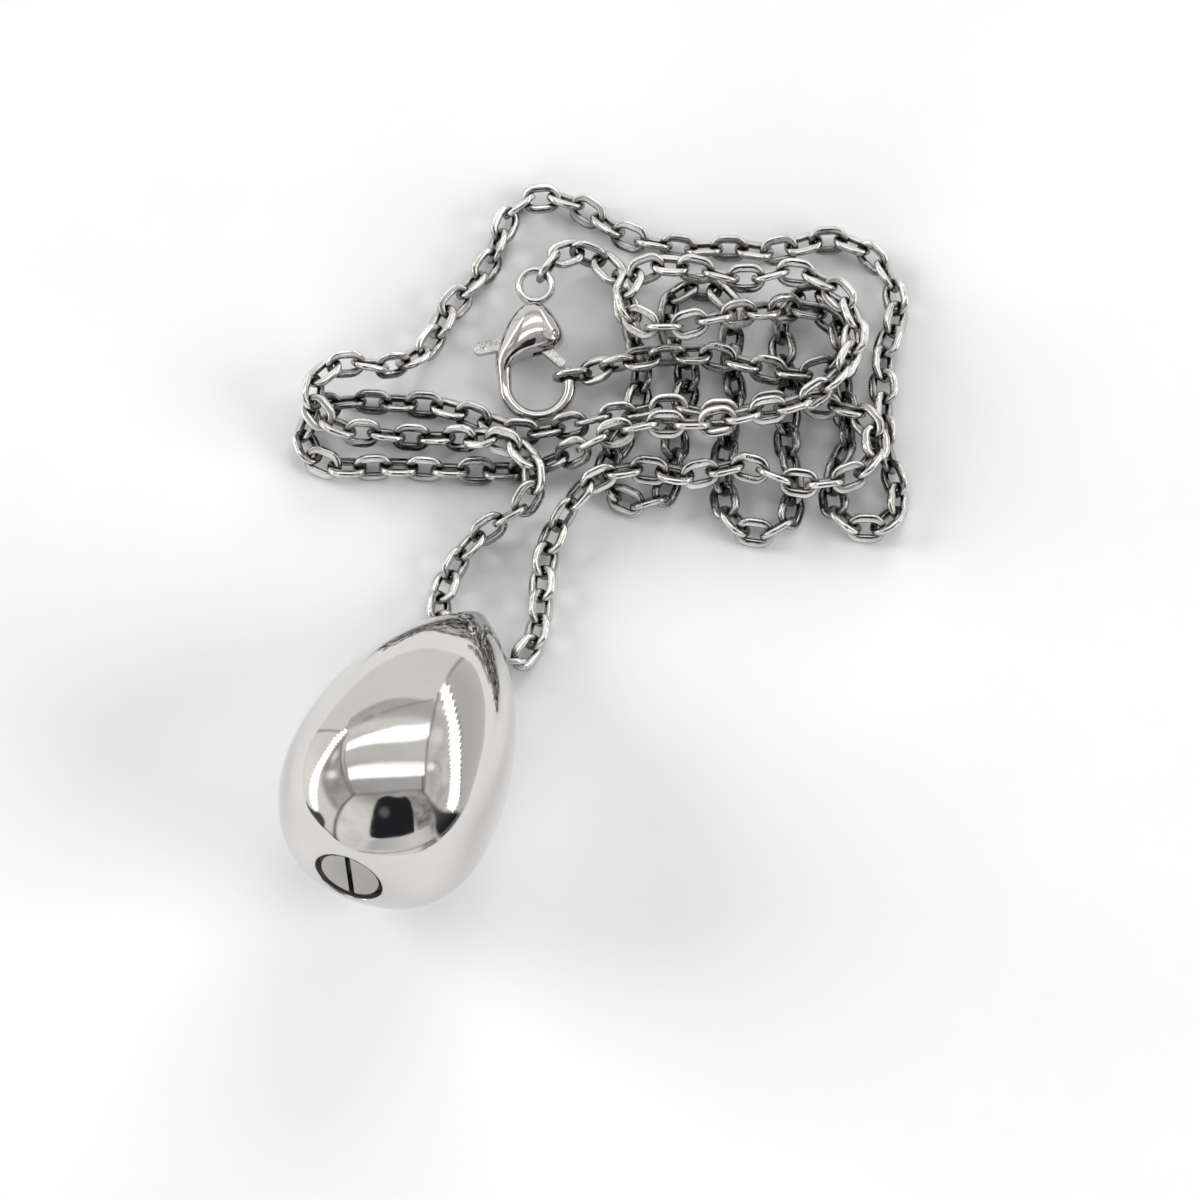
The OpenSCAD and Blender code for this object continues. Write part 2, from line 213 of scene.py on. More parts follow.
def paint_crowd_shade(m, reach, shades):
    """Paints shade into the metal's colour where the floor or other metal closes in around it, as deep among
    heaped links: painted shadow and painted dark reflection of the links around.
    """
    t = m.node_tree
    b = t.nodes["Principled BSDF"]
    tone = b.inputs["Base Color"].links[0].from_socket
    # Ambient occlusion sets how much painted shade the colour gets
    near = node(t, "ShaderNodeAmbientOcclusion", Distance=reach)
    near.samples = 8
    shade = t.nodes.new("ShaderNodeVectorMath")
    shade.operation = "MULTIPLY"
    t.links.new(tone, shade.inputs[0])
    t.links.new(ramp(t, near.outputs["AO"], [(at, (v, v, v)) for at, v in shades]), shade.inputs[1])
    t.links.new(shade.outputs[0], b.inputs["Base Color"])


polished = metal(
    "polished_steel", (0.66, 0.645, 0.625), (0.70, 0.685, 0.665), (0.05, 0.085), (240.0, 0.05, 0.0004)
)
screw_steel = metal(
    "screw_steel", (0.42, 0.41, 0.39), (0.50, 0.485, 0.465), (0.16, 0.26), (900.0, 0.1, 0.0002), 0.3
)
# Steel for the bore and the chamber: rougher, and its colour darkened as painted shade in these hollows
shaded_bore_steel = metal(
    "shaded_bore_steel", (0.20, 0.19, 0.18), (0.30, 0.29, 0.27), (0.35, 0.5), (1500.0, 0.3, 0.0002)
)
link_steel = metal(
    "link_steel", (0.66, 0.645, 0.62), (1.0, 0.985, 0.96), (0.07, 0.2), (700.0, 0.16, 0.0003), 0.25, 300.0
)
# Painted shade on the links, darker where the floor or other links close in
paint_crowd_shade(link_steel, 0.005, [(0.2, 0.06), (0.45, 0.18), (0.72, 0.58), (0.9, 1.0)])
clasp_steel = metal(
    "clasp_steel", (0.64, 0.625, 0.605), (0.70, 0.685, 0.665), (0.06, 0.1), (500.0, 0.06, 0.0003)
)
lever_steel = metal(
    "lever_steel", (0.42, 0.41, 0.395), (0.52, 0.51, 0.49), (0.16, 0.3), (1100.0, 0.2, 0.0003), 0.3
)
pin_steel = metal(
    "pin_steel", (0.40, 0.39, 0.37), (0.50, 0.49, 0.47), (0.25, 0.4), (1500.0, 0.2, 0.0002)
)

# ---------------------------------------------------------------- pendant
# Millimetres: belly's radius and the length of its fat end, whole length, rounded tip's radius and place
BELLY_R, BELLY_L, LENGTH = 8.6, 8.8, 27.1
TIP_R, TIP_AT = 1.45, 16.85
FLAT_END = 18.3
FLANK_R = (BELLY_R**2 + TIP_AT**2 - TIP_R**2) / (2 * (BELLY_R - TIP_R))
TIP_TURN = math.acos(TIP_AT / (FLANK_R - TIP_R))
# Fullness of the fat end, height as a share of the width at the belly and at the tip, squareness
FULL = 2.15
FLAT, TIP_FLAT = 16.8 / 17.2, 0.97
SQUARE = 0.065
# Screw's hole, bore, the neck behind it, the chamber's far end and its wall
HOLE_R = 2.8
BORE_R, NECK_R, NECK_AT = 2.8, 3.2, -3.8
BORE_END, CHAMBER_TOP, WALL = -6.0, 9.5, 0.9


def outline():
    """Half width, distance along the axis and run, from the fat pole to the tip, with kinks smoothed."""
    a = np.linspace(0, math.pi / 2, 400)
    w = BELLY_R * np.sin(a) ** (2 / FULL)
    s = -BELLY_L * np.cos(a).clip(0) ** (2 / FULL)
    e = np.linspace(0, math.asin((TIP_AT + TIP_R * math.cos(TIP_TURN)) / FLANK_R), 500)[1:]
    w = np.r_[w, FLANK_R * np.cos(e) - FLANK_R + BELLY_R]
    s = np.r_[s, FLANK_R * np.sin(e)]
    t = TIP_TURN * np.linspace(1, 0, 120)[1:]
    w = np.r_[w, TIP_R * np.sin(t)]
    s = np.r_[s, TIP_AT + TIP_R * np.cos(t)]
    run = np.r_[0, np.cumsum(np.hypot(np.diff(w), np.diff(s)))]
    step = 0.02
    even = np.arange(0, run[-1], step)
    ew, es = np.interp(even, run, w), np.interp(even, run, s)
    heading = np.unwrap(np.arctan2(np.gradient(es), np.gradient(ew)))
    heading[0] = 0
    pad = 300
    long = np.r_[-heading[pad:0:-1], heading, np.full(pad, heading[-1])]
    reach = 1.1
    sigma = reach / step
    k = np.exp(-0.5 * (np.arange(-pad, pad + 1) / sigma) ** 2)
    soft = np.convolve(long, k / k.sum(), "same")[pad:-pad]
    share = 1 - smooth(13, 16, es)
    heading = heading + (soft - heading) * share
    ow = np.r_[0, np.cumsum(np.cos((heading[1:] + heading[:-1]) / 2))] * step
    os_ = np.r_[0, np.cumsum(np.sin((heading[1:] + heading[:-1]) / 2))] * step
    ow = ow - ow[-1] * smooth(0, 1, even / even[-1])
    ow *= BELLY_R / ow.max()
    os_ = os_ * (LENGTH / os_[-1]) - BELLY_L
    return ow, os_, even


OUT_W, OUT_S, OUT_RUN = outline()
WIDEST = int(np.argmax(OUT_W))
WIDE_S = OUT_S[WIDEST]


def flatness(s):
    """Height as a share of the width, at a distance along the axis."""
    return FLAT - (FLAT - TIP_FLAT) * (np.maximum(0, s) / FLAT_END) ** 2


# The axis's height over the table at the belly, so that the belly touches it
BELLY_Z = float(np.max(OUT_W * flatness(OUT_S) * math.cos(LEAN) + OUT_S * math.sin(LEAN)))


def pendant():
    """The teardrop's skin, the rim of its hole, its bore and its chamber."""
    start = np.interp(HOLE_R + 0.12, OUT_W[: WIDEST + 1], OUT_RUN[: WIDEST + 1])
    place = start + (OUT_RUN[-1] - start) * (1 - (1 - np.linspace(0, 1, 200)) ** 1.3)
    w, s = np.interp(place, OUT_RUN, OUT_W), np.interp(place, OUT_RUN, OUT_S)
    w[-1] = 0
    turn = 2 * math.pi * np.arange(176) / 176
    body_share = np.where(s < WIDE_S, smooth(HOLE_R + 0.1, 6.0, w), 1)
    tip_share = 1 - 0.5 * smooth(16.8, 18.2, s)
    swell = 1 + SQUARE * (body_share * tip_share)[:, None] * (1 - np.cos(4 * turn)) / 2
    flat = 1 + (flatness(s) - 1) * body_share
    rings = np.stack(
        [
            w[:, None] * swell * np.cos(turn),
            np.repeat(s[:, None], len(turn), 1),
            (w * flat)[:, None] * swell * np.sin(turn),
        ],
        -1,
    )
    circle = np.stack([np.cos(turn), np.zeros(len(turn)), np.sin(turn)], -1)
    # From the far end of the chamber, through the bore, to the rim of the hole
    inside = [np.tile([0, CHAMBER_TOP, 0], (len(turn), 1)).astype(float)]
    for at in np.linspace(9.4, -2.6, 24):
        skin = slice(WIDEST, None) if at > WIDE_S else slice(None, WIDEST + 1)
        r = np.interp(at, OUT_S[skin], OUT_W[skin])
        share = smooth(9.7, 8.3, at)
        high = (r * flatness(at) - WALL) * share
        inside.append(circle * np.array([(r - WALL) * share, 0, high]) + np.array([0, at, 0]))
    for r, at in ((NECK_R, NECK_AT + 0.05), (BORE_R, NECK_AT), (BORE_R, BORE_END)):
        inside.append(circle * r + np.array([0, at, 0]))
    for r, sink in ((HOLE_R, 0.5), (HOLE_R, 0.12), (HOLE_R + 0.02, 0.06), (HOLE_R + 0.06, 0.015)):
        ring = circle * r
        ring[:, 1] = s[0] + sink
        inside.append(ring)
    rings = np.concatenate([np.stack(inside), rings])
    n, m = rings.shape[:2]
    o = new_mesh("teardrop", from_belly(rings.reshape(-1, 3)), band(n, m), [polished, shaded_bore_steel])
    # Faces of the bore and the chamber take the steel darkened as painted shade
    in_bore = np.arange(n - 1) < len(inside) - 3
    o.data.polygons.foreach_set("material_index", np.repeat(in_bore, m).astype(np.int32))
    face_outward(o, weld=2e-7, thin=1e-7)
    return o


def lathe(name, profile, place, materials, steps=96, sharp=35):
    """A turned solid: (radius, distance along the axis) from one end of its axis to the other."""
    profile = np.array(profile, float)
    a = np.linspace(0, 2 * math.pi, steps, endpoint=False)
    rings = [np.stack([r * np.cos(a), np.full(steps, y), r * np.sin(a)], -1) for r, y in profile]
    verts = np.concatenate(rings)
    o = new_mesh(name, place(verts), band(len(profile), steps), materials)
    face_outward(o, weld=1e-7)
    shade(o, sharp)
    return o


def use(o, kind, **settings):
    """Applies one modifier to a mesh, with its settings."""
    m = o.modifiers.new(kind.lower(), kind)
    for k, v in settings.items():
        setattr(m, k, v)
    dg = bpy.context.evaluated_depsgraph_get()
    me = bpy.data.meshes.new_from_object(o.evaluated_get(dg), preserve_all_data_layers=True, depsgraph=dg)
    o.modifiers.clear()
    o.data = me
    return o


def cut_out(o, tool):
    """Takes the tool's shape out of a mesh, and removes the tool."""
    use(o, "BOOLEAN", operation="DIFFERENCE", object=tool, solver="EXACT")
    bpy.data.objects.remove(tool, do_unlink=True)


def ring_section(middle, half_wide, half_high, power):
    """Section of a ring with rounded-square wire, as a profile for lathe."""
    profile = []
    for k in range(25):
        a = 2 * math.pi * k / 24
        c, s = math.cos(a), math.sin(a)
        out = half_wide * math.copysign(abs(c) ** power, c)
        profile.append((middle + out, half_high * math.copysign(abs(s) ** power, s)))
    return profile


# Middle of the bail, and the way that the chain runs through the tip
BAIL_Y = 17.1
BAIL_Z = (2.35 - BELLY_Z + BAIL_Y * math.sin(LEAN)) / math.cos(LEAN)
BAIL_AT = np.array([0, BAIL_Y, BAIL_Z])
WAY_R, WAY_HALF, WAY_TURN = 1.65, 12, math.radians(-12)

body = pendant()
way = lathe(
    "way",
    [(0, -WAY_HALF), (WAY_R, -WAY_HALF), (WAY_R, WAY_HALF), (0, WAY_HALF)],
    lambda v: from_belly(v @ turn_z(-math.pi / 2 + WAY_TURN).T + BAIL_AT),
    [shaded_bore_steel],
)
cut_out(body, way)
shade(body, 50)
body.name = "teardrop"

bail = lathe(
    "bail",
    ring_section(2.0, 0.35, 0.5, 0.6),
    lambda v: from_belly(v @ turn_z(-math.pi / 2).T + BAIL_AT),
    [polished],
    72,
)

# ---------------------------------------------------------------- fill screw
# The screw's sunk face and its size; its slot's turn, half width and depth
FACE = -BELLY_L + 0.65
SCREW_R, SCREW_L = 2.75, 3.6
SLOT_TURN, SLOT_HALF, SLOT_DEEP = math.radians(83), 0.22, 0.9
SCREW_PROFILE = [
    (0, 0), (2.36, 0), (2.42, 0.05), (2.5, 0.35), (2.72, 0.42), (SCREW_R, 0.5),
    (SCREW_R, SCREW_L - 0.06), (2.7, SCREW_L), (0, SCREW_L),
]
screw = lathe("screw", [(r, FACE + y) for r, y in SCREW_PROFILE], from_belly, [screw_steel], 120)
corners = [
    (a, b, d)
    for a in (-3.2, 3.2)
    for b in (FACE - 1, FACE + SLOT_DEEP)
    for d in (-SLOT_HALF, SLOT_HALF)
]
c, s = math.cos(SLOT_TURN), math.sin(SLOT_TURN)
slot = new_mesh(
    "cutter",
    from_belly(np.array(corners) @ np.array([[c, 0, -s], [0, 1, 0], [s, 0, c]])),
    [(0, 1, 3, 2), (4, 6, 7, 5), (0, 4, 5, 1), (2, 3, 7, 6), (0, 2, 6, 4), (1, 5, 7, 3)],
    [screw_steel],
)
cut_out(screw, slot)
use(screw, "BEVEL", width=0.00004, segments=2, limit_method="ANGLE", angle_limit=math.radians(50))
shade(screw, 30)

# ---------------------------------------------------------------- chain
ROUTE = (
    (0.01193, 0.04817, 0.58), (0.0131, 0.05, 0.5), (0.015, 0.0509, 0.3), (0.0172, 0.0499, 0.06),
    (0.0186, 0.0476, 0.03), (0.0193, 0.0435, 0), (0.0202, 0.04, 0), (0.0192, 0.0355, 0),
    (0.0171, 0.0315, 0), (0.0179, 0.0289, 0), (0.0199, 0.028, 0), (0.0219, 0.0289, 0), (0.0227, 0.0314, 0),
    (0.0229, 0.035, 0), (0.024, 0.0395, 0), (0.0227, 0.0428, 0), (0.0221, 0.0452, 0), (0.0229, 0.0472, 0),
    (0.0249, 0.048, 0), (0.0269, 0.0472, 0), (0.0277, 0.0452, 0), (0.0273, 0.042, 0), (0.0278, 0.038, 0),
    (0.027, 0.034, 0), (0.0266, 0.031, 0), (0.0268, 0.0282, 0), (0.0276, 0.0262, 0), (0.0296, 0.0254, 0),
    (0.0316, 0.0262, 0), (0.0324, 0.0282, 0), (0.0323, 0.031, 0), (0.0318, 0.0345, 0), (0.0323, 0.038, 0),
    (0.0317, 0.0415, 0), (0.0315, 0.0442, 0), (0.0323, 0.0464, 0), (0.0343, 0.0472, 0),
    (0.0363, 0.0464, 0), (0.0371, 0.0442, 0), (0.0368, 0.0415, 0), (0.0365, 0.038, 0), (0.0369, 0.034, 0),
    (0.0357, 0.031, 0), (0.0355, 0.0286, 0), (0.0363, 0.0266, 0), (0.0383, 0.0258, 0), (0.0402, 0.0266, 0),
    (0.041, 0.0288, 0), (0.0402, 0.0315, 0), (0.0397, 0.0345, 0), (0.0399, 0.038, 0), (0.0398, 0.041, 0),
    (0.0405, 0.0434, 0), (0.0412, 0.0455, 0), (0.0408, 0.0478, 0), (0.0397, 0.05, 0), (0.0379, 0.0517, 0),
    (0.0355, 0.0523, 0), (0.033, 0.0516, 0), (0.0305, 0.051, 0), (0.0275, 0.0515, 0), (0.0245, 0.0513, 0),
    (0.0215, 0.0518, 0), (0.019, 0.0524, 0), (0.017, 0.0538, 0), (0.015, 0.0554, 0), (0.0123, 0.0562, 0),
    (0.0099, 0.0554, 0), (0.0086, 0.053, 0), (0.0078, 0.0503, 0), (0.006, 0.0478, 0), (0.0042, 0.0457, 0),
    (0.0032, 0.0432, 0), (0.0016, 0.0412, 0.05), (-0.0006, 0.0401, 0.4), (-0.0025, 0.0398, 0.85),
    (-0.0046, 0.0396, 1.05), (-0.0063, 0.0383, 1.05), (-0.0068, 0.0363, 1.05), (-0.0057, 0.0345, 1),
    (-0.0036, 0.0338, 0.75), (-0.001, 0.034, 0.35), (0.0012, 0.0341, 0.05), (0.0033, 0.034, 0.05),
    (0.0056, 0.0336, 0.4), (0.0078, 0.0329, 1), (0.0097, 0.0322, 1.15), (0.0111, 0.031, 1.12),
    (0.0115, 0.0292, 0.95), (0.0109, 0.0275, 0.65), (0.0091, 0.0266, 0.3), (0.0073, 0.0257, 0.05),
    (0.0053, 0.0233, 0), (0.0043, 0.0211, 0), (0.0037, 0.0189, 0.08), (0.00398, 0.01705, 0.22),
    (0.00525, 0.0157, 0.4), (0.00646, 0.01493, 0.43), (0.00765, 0.01415, 0.4), (0.00925, 0.0139, 0.15),
    (0.011, 0.0149, 0), (0.0117, 0.017, 0), (0.012, 0.0195, 0), (0.0121, 0.022, 0), (0.0125, 0.0242, 0),
    (0.0134, 0.0263, 0.15), (0.0147, 0.028, 0.6), (0.0166, 0.0294, 1.02), (0.02, 0.0302, 1),
    (0.024, 0.0295, 1), (0.028, 0.0305, 1), (0.032, 0.029, 1), (0.0352, 0.0289, 1), (0.0379, 0.0299, 1),
    (0.0392, 0.0323, 1), (0.0382, 0.0348, 1), (0.0355, 0.0358, 1), (0.0305, 0.036, 1), (0.0265, 0.035, 1),
    (0.0225, 0.0357, 1), (0.019, 0.035, 1), (0.0166, 0.0348, 0.95), (0.0144, 0.0347, 0.45),
    (0.0122, 0.0345, 0.1), (0.0098, 0.0346, 0), (0.0072, 0.0356, 0), (0.004, 0.0369, 0), (0, 0.0372, 0),
    (-0.0024, 0.0374, 0), (-0.0047, 0.0373, 0), (-0.0067, 0.0363, 0), (-0.0074, 0.0342, 0),
    (-0.0066, 0.0322, 0), (-0.0045, 0.0314, 0), (0, 0.0315, 0), (0.004, 0.0312, 0), (0.008, 0.0311, 0),
    (0.011, 0.0312, 0), (0.014, 0.0318, 0.55), (0.0173, 0.0325, 1.55), (0.021, 0.033, 2),
    (0.025, 0.033, 2), (0.029, 0.034, 2), (0.033, 0.035, 2), (0.0363, 0.0378, 2), (0.0375, 0.0415, 2),
    (0.036, 0.045, 2), (0.0325, 0.0468, 2), (0.0285, 0.046, 2), (0.0245, 0.047, 2), (0.0215, 0.0474, 2),
    (0.0192, 0.0463, 2), (0.0186, 0.0439, 2), (0.02, 0.042, 2), (0.0225, 0.0416, 2), (0.026, 0.0426, 2),
    (0.03, 0.0437, 1.6), (0.033, 0.0446, 1.05), (0.0356, 0.0438, 1), (0.0367, 0.0416, 1),
    (0.0356, 0.0394, 1), (0.033, 0.0386, 1), (0.0295, 0.0393, 1), (0.025, 0.0405, 1), (0.022, 0.0403, 1),
    (0.0199, 0.0401, 1.02), (0.0178, 0.04, 0.6), (0.01552, 0.03988, 0.04), (0.01342, 0.0396, 0.02),
)
# Height of the lowest layer and of each next one; size of a link, and how far one reaches past the last
LAY_Z, LAY_STEP = 1.25, 2.45
LINK_L, LINK_W = 3.3, 2.55
PITCH = LINK_L - 2 * 0.42 - 0.36
CURVE_STEPS = 10


def chain_curve():
    """The chain's centre line in the heap's frame, in millimetres."""
    return spline([(x / MM, y / MM, LAY_Z + LAY_STEP * z) for x, y, z in ROUTE], CURVE_STEPS)


def link_places():
    """Middle and axes of each link, as the CAD lays them."""
    curve = chain_curve()
    run = np.r_[0, np.cumsum(np.linalg.norm(np.diff(curve, axis=0), axis=1))]
    count = round(run[-1] / PITCH)
    at = np.arange(count + 1) * run[-1] / count
    joints = np.stack([np.interp(at, run, curve[:, k]) for k in range(3)], -1)
    last_hand = 1 if count % 2 else -1
    out = []
    for i in range(count):
        hand = -1 if i % 2 else 1
        end_hand = 1 if i < count / 2 else last_hand
        share = max(0, 1 - min(i, count - 1 - i) / 6)
        turn = hand * 45 + 12 * math.sin(math.radians(17 * i)) + end_hand * 45 * share
        ahead = joints[i + 1] - joints[i]
        ahead /= np.linalg.norm(ahead)
        level = np.cross([0, 0, 1], ahead)
        level /= np.linalg.norm(level)
        t = math.radians(turn)
        across = level * math.cos(t) + np.cross(ahead, level) * math.sin(t)
        out.append(((joints[i] + joints[i + 1]) / 2, np.stack([ahead, across, np.cross(ahead, across)], -1)))
    return out


# Directions from the heap to the usual viewer and to the middle of the tent's opening
FROM_FRONT = np.array([0.0, -0.407, 0.914])
OPENING = np.array([0.0, -0.64, 0.77])


def settle(axes, k):
    """Turns a link a little about its length, as loose links lie.

    Few then show the same shade, and few mirror the tent's dark opening.
    """
    base = 9 * math.sin(2.4 * k) + 5 * math.sin(5.1 * k + 1)
    for extra in (0, 9, -9, 16, -16, 22):
        t = math.radians(base + extra)
        across = axes[:, 1] * math.cos(t) + axes[:, 2] * math.sin(t)
        turned = np.stack([axes[:, 0], across, np.cross(axes[:, 0], across)], -1)
        face = turned[:, 2] * np.sign(turned[2, 2] + 1e-9)
        mirrored = 2 * (face @ FROM_FRONT) * face - FROM_FRONT
        if mirrored @ OPENING < 0.9:
            break
    return turned


def chain():
    """All links: flat ground faces, rounded sides, thinner metal at the ends than at the sides."""
    side, end_side, half = 0.74, 0.58, 0.25
    path = []
    for sign in (1, -1):
        for t in np.radians(np.linspace(-90, 90, 14)):
            wide = side - (side - end_side) * math.cos(t) ** 2
            r = LINK_W / 2 - wide / 2
            x, y = (LINK_L - LINK_W) / 2 + r * math.cos(t), r * math.sin(t)
            path.append((sign * x, sign * y, sign * math.cos(t), sign * math.sin(t), wide / side))
    round_side = [(0.17, half), (0.275, 0.208), (0.345, 0.12)]
    edge = round_side + [(side / 2, 0.0)] + [(u, -v) for u, v in reversed(round_side)]
    section = edge + [(-u, v) for u, v in reversed(edge)]
    base = [(px + nx * u * k, py + ny * u * k, v) for px, py, nx, ny, k in path for u, v in section]
    n, m = len(path), len(section)
    quads = [
        (i * m + j, ((i + 1) % n) * m + j, ((i + 1) % n) * m + (j + 1) % m, i * m + (j + 1) % m)
        for i in range(n)
        for j in range(m)
    ]
    base, quads = np.array(base), np.array(quads)
    verts, faces = [], []
    for k, (middle, axes) in enumerate(link_places()):
        faces.append(quads + len(verts) * len(base))
        verts.append(from_heap(base @ settle(axes, k).T + middle))
    return new_mesh("links", np.concatenate(verts), np.concatenate(faces).tolist(), [link_steel], 32)


links = chain()

# ---------------------------------------------------------------- clasp
# Edges of the comma-shaped head: outer edge with half height, inner edge
OUTER_EDGE = [
    (-0.45, 7.02, 0.32), (-0.8, 7.0, 0.50), (-1.35, 6.7, 0.88), (-2.0, 6.0, 1.25), (-2.5, 5.2, 1.52),
    (-2.85, 4.35, 1.68), (-3.15, 3.5, 1.64), (-3.38, 2.75, 1.46), (-3.46, 2.05, 1.16), (-3.40, 1.35, 0.86),
    (-3.27, 0.6, 0.66),
]
INNER_EDGE = [
    (0.1, 7.02), (0.45, 6.9), (1.02, 6.4), (1.5, 5.75), (1.9, 5.05), (2.16, 4.3), (2.0, 3.55), (1.35, 3.05),
    (0.2, 2.75), (-1.1, 2.4), (-2.0, 1.6),
]


def clasp_solid():
    """The head and the hook as one solid, lofted between its two edges."""
    loop = np.radians(np.arange(180, 392, 16))
    outer = OUTER_EDGE + [(3.2 * math.cos(a), 3.2 * math.sin(a), 0.55) for a in loop]
    inner = INNER_EDGE + [(2.1 * math.cos(a), 2.1 * math.sin(a)) for a in loop]
    outer, inner = spline(outer, 6), spline(inner, 6)
    middle, half = (outer[:, :2] + inner) / 2, (inner - outer[:, :2]) / 2
    high = outer[:, 2]
    steps = 40
    a = 2 * math.pi * np.arange(steps) / steps
    ca, sa = np.cos(a), np.sin(a)
    rings = [np.column_stack([m + h * ca[:, None], z * sa]) for m, h, z in zip(middle, half, high)]
    # The hook's rounded end
    along = np.array([-half[-1, 1], half[-1, 0]]) / np.linalg.norm(half[-1])
    if along @ (outer[-1, :2] - outer[-2, :2]) < 0:
        along = -along
    for share, ahead in ((0.92, 0.08), (0.75, 0.14), (0.4, 0.16)):
        xy = middle[-1] + half[-1] * share * ca[:, None] + along * ahead
        rings.append(np.column_stack([xy, high[-1] * share * sa]))
    n = len(rings)
    faces = band(n, steps) + [tuple(range(steps)), tuple(range((n - 1) * steps, n * steps))]
    o = new_mesh("clasp", from_clasp(np.concatenate(rings)), faces, [clasp_steel])
    face_outward(o)
    return o


# The lever's hinge, the end of its arm and the end of its tab
PIN = np.array([-0.2, 3.9])
NOSE = np.array([1.92, 1.87])
TAB = np.array([-4.73, 3.10])


def swept(end, r0, r1, angles):
    """Prism round an arm of the lever in all the places of its swing."""
    pts = []
    c = np.radians(np.arange(0, 360, 20))
    for a in np.radians(angles):
        turn = turn_z(a)[:2, :2]
        for at, r in ((PIN, r0), (PIN + turn @ (end - PIN), r1)):
            pts.append(at + r * np.stack([np.cos(c), np.sin(c)], -1))
    pts = np.concatenate(pts)
    pts = np.concatenate([np.column_stack([pts, np.full(len(pts), z)]) for z in (-0.5, 0.5)])
    bm = bmesh.new()
    for p in from_clasp(pts) * MM:
        bm.verts.new(p)
    found = bmesh.ops.convex_hull(bm, input=bm.verts)
    spare = {g for g in found["geom_interior"] + found["geom_unused"] if isinstance(g, bmesh.types.BMVert)}
    bmesh.ops.delete(bm, geom=list(spare), context="VERTS")
    bmesh.ops.recalc_face_normals(bm, faces=bm.faces)
    o = new_mesh("swept", np.zeros((0, 3)), [], [shaded_bore_steel])
    bm.to_mesh(o.data)
    bm.free()
    return o


clasp = clasp_solid()
SWING = (0, -10, -20, -30)
for end, r0, r1, angles in (
    (NOSE, 0.55, 0.45, SWING),
    (TAB, 0.55, 0.60, SWING),
    (PIN + [0.01, 0], 1.0, 1.0, (0,)),
):
    cut_out(clasp, swept(end, r0, r1, angles))
shade(clasp, 45)

eye = lathe(
    "eye",
    ring_section(1.345, 0.32, 0.45, 0.7),
    lambda v: from_clasp(np.stack([v[:, 0], -v[:, 2], v[:, 1]], -1) + np.array([-0.2, 8.5, 0])),
    [clasp_steel],
    72,
    60,
)

# The lever and its pin stay as the CAD has them, with eased edges
for name, material, width in (("clasp_lever", lever_steel, 0.00014), ("clasp_pin", pin_steel, 0.00006)):
    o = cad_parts[name]
    o.data.materials.clear()
    o.data.materials.append(material)
    ease = o.modifiers.new("ease", "BEVEL")
    ease.width, ease.segments = width, 3
    ease.limit_method, ease.angle_limit = "ANGLE", math.radians(40)

for piece, nodes in ((body, ["pendant"]), (bail, []), (links, ["chain"]), (clasp, ["clasp_body"]), (eye, [])):
    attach(piece, "pendant_and_chain")
    if nodes:
        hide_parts(*nodes)
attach(screw, "fill_screw")
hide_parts("fill_screw")

# ---------------------------------------------------------------- table
HALF = 3.0
floor = bpy.data.objects.new("table", bpy.data.meshes.new("table"))
floor_corners = [(-HALF, -HALF, 0), (HALF, -HALF, 0), (HALF, HALF, 0), (-HALF, HALF, 0)]
floor.data.from_pydata(floor_corners, [], [(0, 1, 2, 3)])
bpy.context.collection.objects.link(floor)
paper = bpy.data.materials.new("paper")
paper.use_nodes = True
t = paper.node_tree
b = t.nodes["Principled BSDF"]
place = t.nodes.new("ShaderNodeTexCoord").outputs["Object"]
cloud = node(t, "ShaderNodeTexNoise", Vector=place, Scale=60.0, Detail=4.0)
tone = ramp(t, cloud.outputs[0], [(0.3, (0.895, 0.90, 0.905)), (0.7, (0.915, 0.917, 0.92))])
t.links.new(tone, b.inputs["Base Color"])
b.inputs["Roughness"].default_value = 0.9
b.inputs["Specular IOR Level"].default_value = 0.1
floor.data.materials.append(paper)

# ---------------------------------------------------------------- light
scene = bpy.context.scene
scene.view_settings.view_transform = "Standard"
world = bpy.data.worlds.new("studio")
scene.world = world
world.use_nodes = True
t = world.node_tree
back = t.nodes["Background"]
d = t.nodes.new("ShaderNodeTexCoord").outputs["Generated"]
spin = t.nodes.new("ShaderNodeVectorRotate")
spin.rotation_type = "Z_AXIS"
spin.inputs["Angle"].default_value = -HEAP_TURN
t.links.new(d, spin.inputs["Vector"])
split = t.nodes.new("ShaderNodeSeparateXYZ")
t.links.new(spin.outputs[0], split.inputs[0])
X, Y, Z = split.outputs


def W(op, *a):
    return maths(t, op, *a)


def step_up(x, at, soft):
    """0 below at, 1 above it, over a soft border."""
    n = node(t, "ShaderNodeMapRange", Value=x)
    n.interpolation_type = "SMOOTHSTEP"
    n.inputs["From Min"].default_value = at - soft
    n.inputs["From Max"].default_value = at + soft
    return n.outputs[0]


def between(x, lo, hi, soft):
    return W("MULTIPLY", step_up(x, lo, soft), W("SUBTRACT", 1.0, step_up(x, hi, soft)))


def both(*masks):
    out = masks[0]
    for m in masks[1:]:
        out = W("MULTIPLY", out, m)
    return out


def curve(x, points, lo, hi):
    """A smooth curve through points, drawn in a float curve; lo and hi bound its values."""
    n = t.nodes.new("ShaderNodeFloatCurve")
    m = node(t, "ShaderNodeMapRange", Value=x)
    m.inputs["From Min"].default_value = points[0][0]
    m.inputs["From Max"].default_value = points[-1][0]
    t.links.new(m.outputs[0], n.inputs["Value"])
    c = n.mapping.curves[0]
    span = points[-1][0] - points[0][0]
    scaled = [((a - points[0][0]) / span, (b - lo) / (hi - lo)) for a, b in points]
    c.points[0].location, c.points[1].location = scaled[0], scaled[-1]
    for q in scaled[1:-1]:
        c.points.new(*q)
    n.mapping.update()
    return W("MULTIPLY_ADD", n.outputs[0], float(hi - lo), float(lo))


